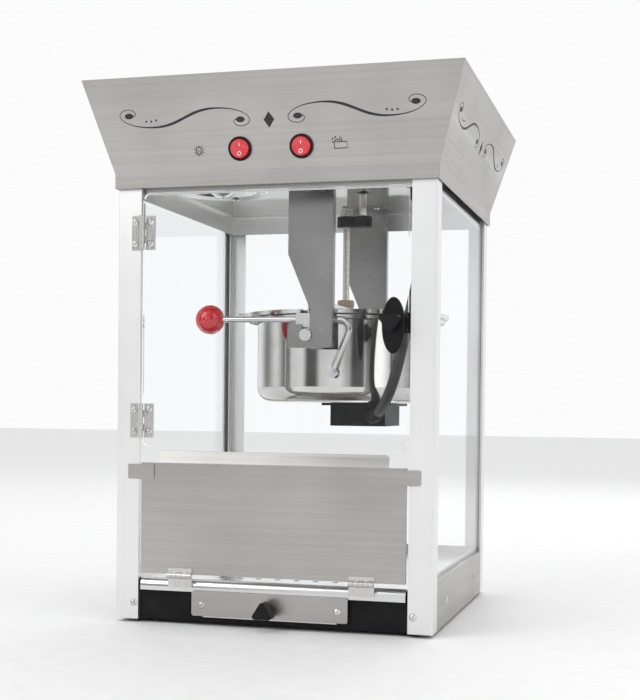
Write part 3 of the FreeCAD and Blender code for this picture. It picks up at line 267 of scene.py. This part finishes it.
def make_materials():
    """One finish for each material slot of the record."""
    return {
        "stainless_panel": brushed(
            "stainless_panel", STEEL_DARK, STEEL_LIGHT, 0.26, 0.38, ALONG_WALLS, 0.34, 0.08, Anisotropic=0.5
        ),
        "tray_steel": brushed(
            "tray_steel", (0.55, 0.55, 0.54), (0.80, 0.80, 0.79), 0.14, 0.24, (6, 900, 900), 0.3
        ),
        "post_aluminium": brushed(
            "post_aluminium", (0.80, 0.80, 0.79), (0.92, 0.92, 0.91), 0.34, 0.46, (900, 900, 6), 0.25
        ),
        "hinge_steel": brushed(
            "hinge_steel", (0.50, 0.49, 0.47), (0.72, 0.71, 0.69), 0.2, 0.34, (900, 900, 40), 0.35
        ),
        "shaft_steel": brushed(
            "shaft_steel", (0.50, 0.46, 0.39), (0.76, 0.73, 0.66), 0.22, 0.36, (60, 60, 1400), 0.4
        ),
        "lamp_reflector": brushed(
            "lamp_reflector", (0.6, 0.6, 0.59), (0.84, 0.84, 0.83), 0.22, 0.34, (500, 500, 40), 0.3
        ),
        "kettle_steel": polished("kettle_steel", (0.54, 0.525, 0.505), (0.68, 0.67, 0.65), 0.05, 0.09),
        "handle_chrome": polished("handle_chrome", (0.56, 0.56, 0.57), (0.68, 0.68, 0.69), 0.03, 0.07),
        "screw_steel": polished("screw_steel", (0.55, 0.55, 0.54), (0.82, 0.82, 0.80), 0.16, 0.28),
        "cabinet_glass": glazed("cabinet_glass", (0.988, 0.996, 0.994), 0.015, 1.25),
        "lamp_glass": glazed("lamp_glass", (0.97, 0.975, 0.96), 0.03),
        "black_steel": moulded(
            "black_steel", (0.006, 0.006, 0.007), (0.014, 0.014, 0.015), 0.3, 0.42, Specular_IOR_Level=0.12
        ),
        "black_plastic": moulded(
            "black_plastic", (0.006, 0.006, 0.007), (0.015, 0.015, 0.016), 0.24, 0.36, Specular_IOR_Level=0.16
        ),
        "gear_plastic": moulded("gear_plastic", (0.012, 0.012, 0.012), (0.026, 0.026, 0.026), 0.4, 0.55),
        "foot_rubber": moulded("foot_rubber", (0.014, 0.014, 0.014), (0.03, 0.03, 0.03), 0.7, 0.85, 0.5),
        "red_ball": moulded(
            "red_ball", (0.52, 0.004, 0.012), (0.66, 0.01, 0.02), 0.16, 0.22, 0.02,
            Coat_Weight=0.9, Coat_Roughness=0.04,
        ),
        "red_lens": red_lens(),
        "lead_sleeve": lead_sleeve(),
    }


def make_own_and_shaded_looks():
    """Finishes of the nodes that differ from the rest of their slot: a polished ceiling, and hanger plates in a
    darker copy of the panel steel whose colour is painted shade.
    """
    # The hanger plates are the same steel as the panels, coloured darker than that steel: painted shade.
    painted_shade_plate = polished("hanger_steel_painted_shade", (0.24, 0.237, 0.23), (0.30, 0.296, 0.288), 0.22, 0.28, 0.01)
    roof = polished("ceiling_steel", (0.46, 0.46, 0.455), (0.58, 0.58, 0.57), 0.05, 0.09)
    return {"hanger_front": painted_shade_plate, "hanger_rear": painted_shade_plate, "ceiling_panel": roof}


def mark_ink():
    """Matt black etching ink."""
    return moulded("etched_black", (0.008, 0.008, 0.008), (0.02, 0.02, 0.02), 0.45, 0.6, 0.1)


def mark_white():
    """White ink on the rockers."""
    return moulded("marking_white", (0.78, 0.74, 0.72), (0.9, 0.88, 0.86), 0.35, 0.5, 0.05)


# -------------------------------------------------------------------- mesh tools
def piece(name, vertices, faces, material, smooth=True):
    """A new object from points and faces in the part's frame."""
    data = bpy.data.meshes.new(name)
    data.from_pydata([tuple(v) for v in vertices], [], faces)
    mesh = bmesh.new()
    mesh.from_mesh(data)
    bmesh.ops.recalc_face_normals(mesh, faces=mesh.faces)
    mesh.to_mesh(data)
    mesh.free()
    data.polygons.foreach_set("use_smooth", [smooth] * len(data.polygons))
    data.materials.append(material)
    item = bpy.data.objects.new(name, data)
    bpy.context.scene.collection.objects.link(item)
    return item


def joined(parts):
    """Several lists of points and faces as one."""
    vertices, faces = [], []
    for more_vertices, more_faces in parts:
        first = len(vertices)
        vertices += more_vertices
        faces += [[first + i for i in face] for face in more_faces]
    return vertices, faces


def smooth_line(points, steps):
    """A Catmull-Rom line through tuples of numbers."""
    padded = [points[0], *points, points[-1]]
    line = []
    for a, b, c, d in zip(padded, padded[1:], padded[2:], padded[3:]):
        for step in range(steps):
            t = step / steps
            line.append(
                tuple(
                    0.5 * (2 * q + (r - p) * t + (2 * p - 5 * q + 4 * r - s) * t * t
                           + (3 * q - p - 3 * r + s) * t ** 3)
                    for p, q, r, s in zip(a, b, c, d)
                )
            )
    line.append(points[-1])
    return line


def swept(points, radii, sides):
    """A round tube with closed ends along 3-D points, with a radius for each."""
    count = len(points)
    ahead, behind = [*points[1:], points[-1]], [points[0], *points[:-1]]
    heading = [(a - b).normalized() for a, b in zip(ahead, behind)]
    across = heading[0].orthogonal().normalized()
    vertices, faces = [], []
    for i in range(count):
        across = (across - heading[i] * across.dot(heading[i])).normalized()
        other = heading[i].cross(across)
        for k in range(sides):
            turn = 2 * math.pi * k / sides
            spoke = across * math.cos(turn) + other * math.sin(turn)
            vertices.append(points[i] + spoke * radii[i])
    for i in range(count - 1):
        for k in range(sides):
            n = (k + 1) % sides
            faces.append([i * sides + k, i * sides + n, (i + 1) * sides + n, (i + 1) * sides + k])
    faces.append(list(range(sides)))
    faces.append([(count - 1) * sides + k for k in range(sides)])
    return vertices, faces


# --------------------------------------------------------------- etched markings
# How far the ink reaches below and above a face.
INK_LOW, INK_HIGH = -0.05 * MM, 0.12 * MM


class Face:
    """A flat or curved face of a node, with its own across, up and out directions."""

    def __init__(self, node, origin, across, up):
        self.origin, self.across, self.up = origin, across.normalized(), up.normalized()
        self.out = self.across.cross(self.up).normalized()
        data = frame["nodes"][node].data
        corners = [v.co.copy() for v in data.vertices]
        self.skin = BVHTree.FromPolygons(corners, [list(p.vertices) for p in data.polygons])

    def on(self, x, y, rise):
        """The point x across and y up, laid on the node's skin and lifted off it."""
        reach = 0.03
        flat = self.origin + self.across * x + self.up * y
        hit = self.skin.ray_cast(flat + self.out * reach, -self.out, 2 * reach)[0]
        return (hit or flat) + self.out * rise


def slab(face, outline):
    """A thin raised patch of a closed outline, given in metres on a face."""
    count = len(outline)
    vertices = [face.on(x, y, rise) for rise in (INK_HIGH, INK_LOW) for x, y in outline]
    faces = [list(range(count)), [2 * count - 1 - i for i in range(count)]]
    faces += [[i, (i + 1) % count, count + (i + 1) % count, count + i] for i in range(count)]
    return vertices, faces


def strip(face, line):
    """A thin raised line; each point is (across, up, half width) in metres."""
    vertices, faces = [], []
    count = len(line)
    for i, (x, y, half) in enumerate(line):
        ahead, behind = line[min(i + 1, count - 1)], line[max(i - 1, 0)]
        direction = Vector((ahead[0] - behind[0], ahead[1] - behind[1])).normalized()
        side_x, side_y = -direction.y * half, direction.x * half
        for sign in (1, -1):
            for rise in (INK_HIGH, INK_LOW):
                vertices.append(face.on(x + sign * side_x, y + sign * side_y, rise))
    for i in range(count - 1):
        a, b = 4 * i, 4 * i + 4
        faces += [[a, b, b + 2, a + 2], [a + 3, b + 3, b + 1, a + 1]]
        faces += [[a + 1, b + 1, b, a], [a + 2, b + 2, b + 3, a + 3]]
    faces += [[0, 2, 3, 1], [4 * count - 3, 4 * count - 1, 4 * count - 2, 4 * count - 4]]
    return vertices, faces


def oval(x, y, wide, tall, count=28):
    """An ellipse's outline in metres, from sizes in mm."""
    turns = [2 * math.pi * k / count for k in range(count)]
    return [((x + wide * math.cos(t)) * MM, (y + tall * math.sin(t)) * MM) for t in turns]


def line_mark(points, half):
    """A line of even width in metres, through points in mm."""
    return [(x * MM, y * MM, half * MM) for x, y in points]


def ring_mark(x, y, wide, tall, half):
    """A closed line of even width in metres, along an ellipse in mm."""
    steps = 24
    turns = [2 * math.pi * k / steps for k in range(steps + 1)]
    return line_mark([(x + wide * math.cos(t), y + tall * math.sin(t)) for t in turns], half)


# Half of a scroll from its middle to the curl, in mm: across, up, half width.
HALF_SCROLL = [
    (0, 0, 1.35), (8, 3.3, 1.4), (16, 6.0, 1.35), (25, 7.9, 1.2), (34, 8.6, 0.95), (44, 8.3, 0.7),
    (54, 7.0, 0.55), (62, 4.9, 0.45), (68.5, 2.0, 0.4), (73, -1.6, 0.38), (74.6, -5.2, 0.38),
    (73, -8.4, 0.38), (68.8, -10.6, 0.38), (63.5, -11.2, 0.38), (58.8, -9.8, 0.38),
    (56.6, -7.2, 0.38), (57.2, -4.8, 0.4), (60, -3.6, 0.5),
]
CURL = (64.0, -4.4, 4.9, 3.1)        # the filled eye of the curl: across, up, half sizes

# Where the flare's marks go, in mm from the middle of its lower fold.
SCROLL_ACROSS, SCROLL_UP = 96, 57.5
DIAMOND = [(0, 43.0), (-6, 51.5), (0, 60.0), (6, 51.5)]
DOTS = [(140.3, 55.5), (134.4, 55.2), (128.7, 56.3)]
LAMP_SIGN, BOX_SIGN = (-81.6, 21.9), (77.5, 21.5)


def scroll(face, x, y, flip):
    """An S-shaped scroll with a curl at each end, round the point (x, y) in mm; flip -1 mirrors it."""
    half = smooth_line(HALF_SCROLL, 6)
    whole = [(-a, -b, w) for a, b, w in reversed(half[1:])] + half
    parts = [strip(face, [((x + flip * a) * MM, (y + b) * MM, w * MM) for a, b, w in whole])]
    a, b, wide, tall = CURL
    for end in (-1, 1):
        parts.append(slab(face, oval(x + end * flip * a, y + end * b, wide, tall)))
    return parts


def flare_marks(face, name):
    """Two mirrored scrolls, a diamond between them and three dots by each."""
    parts = scroll(face, -SCROLL_ACROSS, SCROLL_UP, 1)
    parts += scroll(face, SCROLL_ACROSS, SCROLL_UP + 1, -1)
    parts.append(slab(face, [(x * MM, y * MM) for x, y in DIAMOND]))
    for side in (-1, 1):
        for x, y in DOTS:
            parts.append(slab(face, oval(side * x, y, 1.15, 1.15, 16)))
    mark = piece(name, *joined(parts), INK, smooth=False)
    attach(mark, "cabinet")


def moved(points, place):
    """Flat points, moved by a place."""
    return [(x + place[0], y + place[1]) for x, y in points]


def icon_marks(face):
    """A lamp sign by the left switch and a popcorn-box sign by the right one."""
    rays = 10
    filament = [(-1.4, -2.0), (-1.2, 0.8), (0, -0.6), (1.2, 0.8), (1.4, -2.0)]
    box = [(-7, -3), (7, -3), (7, 3.6), (-7, 3.6), (-7, -3)]
    heap = [(-1.8, 4.2), (-0.6, 9.0), (0.4, 4.4), (1.2, 8.6), (1.0, 4.2)]
    flakes = [(-5.6, 8.6), (-8.6, 7.2), (-8.4, 3.6), (-3.6, 6.0), (-5.8, 5.4)]
    parts = [strip(face, ring_mark(*LAMP_SIGN, 3.4, 3.6, 0.5))]
    for k in range(rays):
        turn = 2 * math.pi * (k + 0.5) / rays
        ray = [(r * math.cos(turn), r * math.sin(turn)) for r in (4.4, 5.9)]
        parts.append(strip(face, line_mark(moved(ray, LAMP_SIGN), 0.5)))
    parts.append(strip(face, line_mark(moved(filament, LAMP_SIGN), 0.35)))
    parts.append(strip(face, line_mark(moved(box, BOX_SIGN), 0.5)))
    parts.append(strip(face, line_mark(moved(heap, BOX_SIGN), 0.55)))
    for x, y in moved(flakes, BOX_SIGN):
        parts.append(slab(face, oval(x, y, 0.95, 0.95, 12)))
    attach(piece("switch_signs", *joined(parts), INK, smooth=False), "cabinet")


# The node that each switch joint moves.
ROCKERS = {"lamp_switch": "rocker_lamp", "kettle_switch": "rocker_kettle"}


def rocker_marks(node, body, origin):
    """A stroke on the upper half and a ring on the lower half of a rocker."""
    face = Face(node, origin, FRONT.across, FRONT.up)
    middle = 4.6
    stroke = line_mark([(0, middle - 1.8), (0, middle), (0, middle + 1.8)], 0.42)
    ring = ring_mark(0, -middle, 1.9, 1.9, 0.4)
    marks = piece(node + "_marks", *joined([strip(face, stroke), strip(face, ring)]), WHITE, smooth=False)
    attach(marks, body)


def slope_of(node, across):
    """The sloping outer face of a canopy side, from its largest outward-facing polygons."""
    data = frame["nodes"][node].data
    outward = across.cross(Vector((0, 0, 1)))
    faces = [p for p in data.polygons if p.normal.dot(outward) > 0.5 and p.normal.z < -0.1]
    normal = max(faces, key=lambda p: p.area).normal.copy()
    fold = min((data.vertices[i].co for p in faces for i in p.vertices), key=lambda v: v.z)
    up = normal.cross(across).normalized()
    middle = Vector((0, 0, fold.z)) + outward * fold.dot(outward)
    return Face(node, middle, across, up)


# ------------------------------------------------------------------ kettle lead
# The lead's route from the heater's gland to the plug, in metres.
GLAND_LENGTH, STRAIGHT_OUT, STRAIGHT_IN = 0.016, 0.032, 0.036
GLAND_AIM = Vector((0.38, -0.92, 0.06)).normalized()
GLAND_MOUTH = Vector((0.080, -0.038, 0.233)) + GLAND_AIM * GLAND_LENGTH
PLUG_END = Vector((0.141, -0.066, 0.472))
LEAD_ROUTE = [
    GLAND_MOUTH,
    GLAND_MOUTH + GLAND_AIM * STRAIGHT_OUT,
    Vector((0.120, -0.117, 0.264)),
    Vector((0.132, -0.126, 0.304)),
    Vector((0.141, -0.122, 0.350)),
    Vector((0.146, -0.101, 0.396)),
    PLUG_END - Vector((0, 0, STRAIGHT_IN)),
    PLUG_END,
]


def spline_points(route):
    """Points read along the NURBS line that has the route as its control points."""
    data = bpy.data.curves.new("lead_line", "CURVE")
    data.dimensions = "3D"
    data.resolution_u = 12
    line = data.splines.new("NURBS")
    line.points.add(len(route) - 1)
    for point, place in zip(line.points, route):
        point.co = (*place, 1)
    line.order_u = 3
    line.use_endpoint_u = True
    holder = bpy.data.objects.new("lead_line", data)
    bpy.context.scene.collection.objects.link(holder)
    bpy.context.view_layer.update()
    mesh = bpy.data.meshes.new_from_object(holder.evaluated_get(bpy.context.evaluated_depsgraph_get()))
    points = [v.co.copy() for v in mesh.vertices]
    bpy.data.objects.remove(holder)
    bpy.data.meshes.remove(mesh)
    return points


def boot(name, points, body, start_radius, end_radius, length):
    """A ribbed, tapered strain relief along the first stretch of the points."""
    ribs, rib_depth = 6, 0.9 * MM
    path, travelled = [points[0]], 0.0
    for before, after in zip(points, points[1:]):
        travelled += (after - before).length
        if travelled > length:
            break
        path.append(after)
    places, radii = [], []
    steps = ribs * 6
    for k in range(steps + 1):
        share = k / steps
        spot = share * (len(path) - 1)
        i = min(int(spot), len(path) - 2)
        groove = rib_depth * (0.5 - 0.5 * math.cos(2 * math.pi * ribs * share))
        places.append(path[i].lerp(path[i + 1], spot - i))
        radii.append(start_radius + (end_radius - start_radius) * share - groove)
    made = piece(name, *swept(places, radii, 32), MATERIALS["black_plastic"])
    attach(made, body)


def make_lead():
    """The sleeved lead between the heater and the ceiling plug."""
    points = spline_points(LEAD_ROUTE)
    radius = 6 * MM
    lead = piece("kettle_lead_sleeve", *swept(points, [radius] * len(points), 32), MATERIALS["lead_sleeve"])
    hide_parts("kettle_lead")
    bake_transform(lead)
    boot("gland_boot", points, "kettle", 9.2 * MM, 6.9 * MM, 0.024)
    boot("plug_boot", list(reversed(points)), "cabinet", 8.8 * MM, 6.8 * MM, 0.022)


# ----------------------------------------------------------------- small details
def knurled_collar():
    """A straight knurled grip ring round the stirrer's collar, with a small chamfer at each end."""
    low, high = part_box("stirrer_shaft")
    middle = (low + high) / 2
    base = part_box("lid_bar")[1].z + 1.0 * MM
    ridges, ridge_lift, outer = 26, 0.35 * MM, 9.8 * MM
    height, step, chamfer = 11.5 * MM, 4.2 * MM, 0.6 * MM
    sides = ridges * 6
    levels = [
        (0, 1.3 * MM), (chamfer, 0.8 * MM), (step, 0.8 * MM), (step, 0.3 * MM), (step + chamfer, 0),
        (height - chamfer, 0), (height, chamfer),
    ]
    vertices, faces = [], []
    for rise, inset in levels:
        for k in range(sides):
            turn = 2 * math.pi * k / sides
            radius = outer + ridge_lift * math.cos(ridges * turn) - inset
            vertices.append(
                (middle.x + radius * math.cos(turn), middle.y + radius * math.sin(turn), base + rise)
            )
    top = (len(levels) - 1) * sides
    for first in range(0, top, sides):
        for k in range(sides):
            n = (k + 1) % sides
            faces.append([first + k, first + n, first + sides + n, first + sides + k])
    faces.append(list(range(sides)))
    faces.append([top + k for k in range(sides)])
    bronze = brushed(
        "collar_bronze", (0.26, 0.19, 0.13), (0.50, 0.41, 0.31), 0.26, 0.4, (90, 90, 900), 0.4
    )
    ring = piece("stirrer_collar_knurl", vertices, faces, bronze, smooth=False)
    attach(ring, "stirrer")


def drive_sleeve():
    """A steel sleeve over the drive shaft, between its gear and the ceiling."""
    low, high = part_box("drive_gear")
    middle = (low + high) / 2
    start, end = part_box("stirrer_gear")[1].z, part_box("ceiling_panel")[0].z - 0.8 * MM
    outer, mouth = 4.5 * MM, 4.1 * MM
    line = [Vector((middle.x, middle.y, start + (end - start) * share)) for share in (0, 0.03, 0.97, 1)]
    radii = [mouth, outer, outer, mouth]
    sleeve = piece("drive_shaft_sleeve", *swept(line, radii, 40), MATERIALS["shaft_steel"])
    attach(sleeve, "drive")


# ------------------------------------------------------------------ floor, light
def stage_floor():
    """A wide pale floor."""
    size = 9.0
    floor = piece(
        "floor", [(-size, -size, 0), (size, -size, 0), (size, size, 0), (-size, size, 0)], [[0, 1, 2, 3]],
        moulded("floor_paint", (0.80, 0.80, 0.80), (0.84, 0.84, 0.84), 0.6, 0.7, 0.02),
    )


def lamp(name, place, target, size, power):
    """A soft box that faces a point."""
    data = bpy.data.lights.new(name, "AREA")
    data.shape = "RECTANGLE"
    data.size, data.size_y = size
    data.energy = power
    item = bpy.data.objects.new(name, data)
    item.location = place
    item.rotation_mode = "QUATERNION"
    item.rotation_quaternion = (Vector(target) - Vector(place)).to_track_quat("-Z", "Y")
    bpy.context.scene.collection.objects.link(item)


# How bright the surround is round the part, from its back by the left to its back again.
# Each pair is a share of the full turn and a brightness: soft boxes with dark flags between.
SURROUND = [
    (0.00, 1.00), (0.14, 0.95), (0.20, 0.30), (0.26, 0.95), (0.31, 0.12), (0.34, 0.90), (0.38, 1.05),
    (0.405, 0.08), (0.43, 0.10), (0.455, 0.90), (0.52, 1.00), (0.55, 0.55), (0.57, 0.06), (0.60, 0.08),
    (0.625, 0.95), (0.67, 1.00), (0.71, 0.10), (0.75, 0.85), (0.81, 0.35), (0.86, 0.95), (1.00, 1.00),
]


def surround():
    """A pale studio whose flags show only in mirrored light and through glass."""
    world = bpy.data.worlds.new("studio")
    world.use_nodes = True
    tree = world.node_tree
    link = tree.links.new

    def math_node(operation, first, second=None):
        made = tree.nodes.new("ShaderNodeMath")
        made.operation = operation
        link(first, made.inputs[0])
        if second is not None:
            link(second, made.inputs[1])
        return made

    place = tree.nodes.new("ShaderNodeTexCoord")
    axes = tree.nodes.new("ShaderNodeSeparateXYZ")
    link(place.outputs["Generated"], axes.inputs[0])
    front = math_node("MULTIPLY", axes.outputs["Y"])
    front.inputs[1].default_value = -1
    turn = math_node("ARCTAN2", axes.outputs["X"], front.outputs[0])
    share = tree.nodes.new("ShaderNodeMapRange")
    share.inputs["From Min"].default_value = -math.pi
    share.inputs["From Max"].default_value = math.pi
    link(turn.outputs[0], share.inputs["Value"])
    ramp = tree.nodes.new("ShaderNodeValToRGB")
    ramp.color_ramp.interpolation = "EASE"
    stops = ramp.color_ramp.elements
    ends = {SURROUND[0][0]: stops[0], SURROUND[-1][0]: stops[1]}
    for spot, bright in SURROUND:
        stop = ends.get(spot) or stops.new(spot)
        stop.color = (bright, bright, bright, 1)
    link(share.outputs["Result"], ramp.inputs["Fac"])
    mirrored = tree.nodes["Background"]
    mirrored.inputs["Color"].default_value = (0.97, 0.98, 1.0, 1)
    link(ramp.outputs["Color"], mirrored.inputs["Strength"])
    plain = tree.nodes.new("ShaderNodeBackground")
    plain.inputs["Color"].default_value = (1, 1, 1, 1)
    plain.inputs["Strength"].default_value = 0.97
    path = tree.nodes.new("ShaderNodeLightPath")
    even = math_node("MAXIMUM", path.outputs["Is Camera Ray"], path.outputs["Is Diffuse Ray"])
    both = tree.nodes.new("ShaderNodeMixShader")
    link(even.outputs[0], both.inputs["Fac"])
    link(mirrored.outputs[0], both.inputs[1])
    link(plain.outputs[0], both.inputs[2])
    link(both.outputs[0], tree.nodes["World Output"].inputs["Surface"])
    bpy.context.scene.world = world


def light_studio():
    """The surround and three soft boxes."""
    bpy.context.scene.view_settings.view_transform = "Standard"
    surround()
    lamp("key", (-1.5, -1.9, 1.9), (0, 0, 0.3), (1.7, 1.9), 24)
    lamp("fill", (2.0, -1.2, 1.0), (0, 0, 0.3), (1.3, 1.8), 5)
    lamp("rear", (0.4, 2.0, 1.7), (0, 0, 0.4), (1.6, 1.0), 12)


# ------------------------------------------------------------------- build it all
aim_camera()
MATERIALS = make_materials()
OWN_AND_SHADED_LOOKS = make_own_and_shaded_looks()
INK, WHITE = mark_ink(), mark_white()
for part in frame["record"]["subparts"]:
    item = frame["nodes"][part["node"]]
    item.data.materials.clear()
    item.data.materials.append(OWN_AND_SHADED_LOOKS.get(part["node"], MATERIALS[part["material_slot"]]))

FRONT = slope_of("canopy_front", Vector((1, 0, 0)))
flare_marks(FRONT, "front_scrolls")
icon_marks(FRONT)
flare_marks(slope_of("canopy_right", Vector((0, 1, 0))), "right_scrolls")
flare_marks(slope_of("canopy_left", Vector((0, -1, 0))), "left_scrolls")
for joint in frame["joints"]:
    if joint["name"] in ROCKERS:
        rocker_marks(ROCKERS[joint["name"]], joint["child"], Vector(joint["pos_m"]))
make_lead()
knurled_collar()
drive_sleeve()
stage_floor()
light_studio()
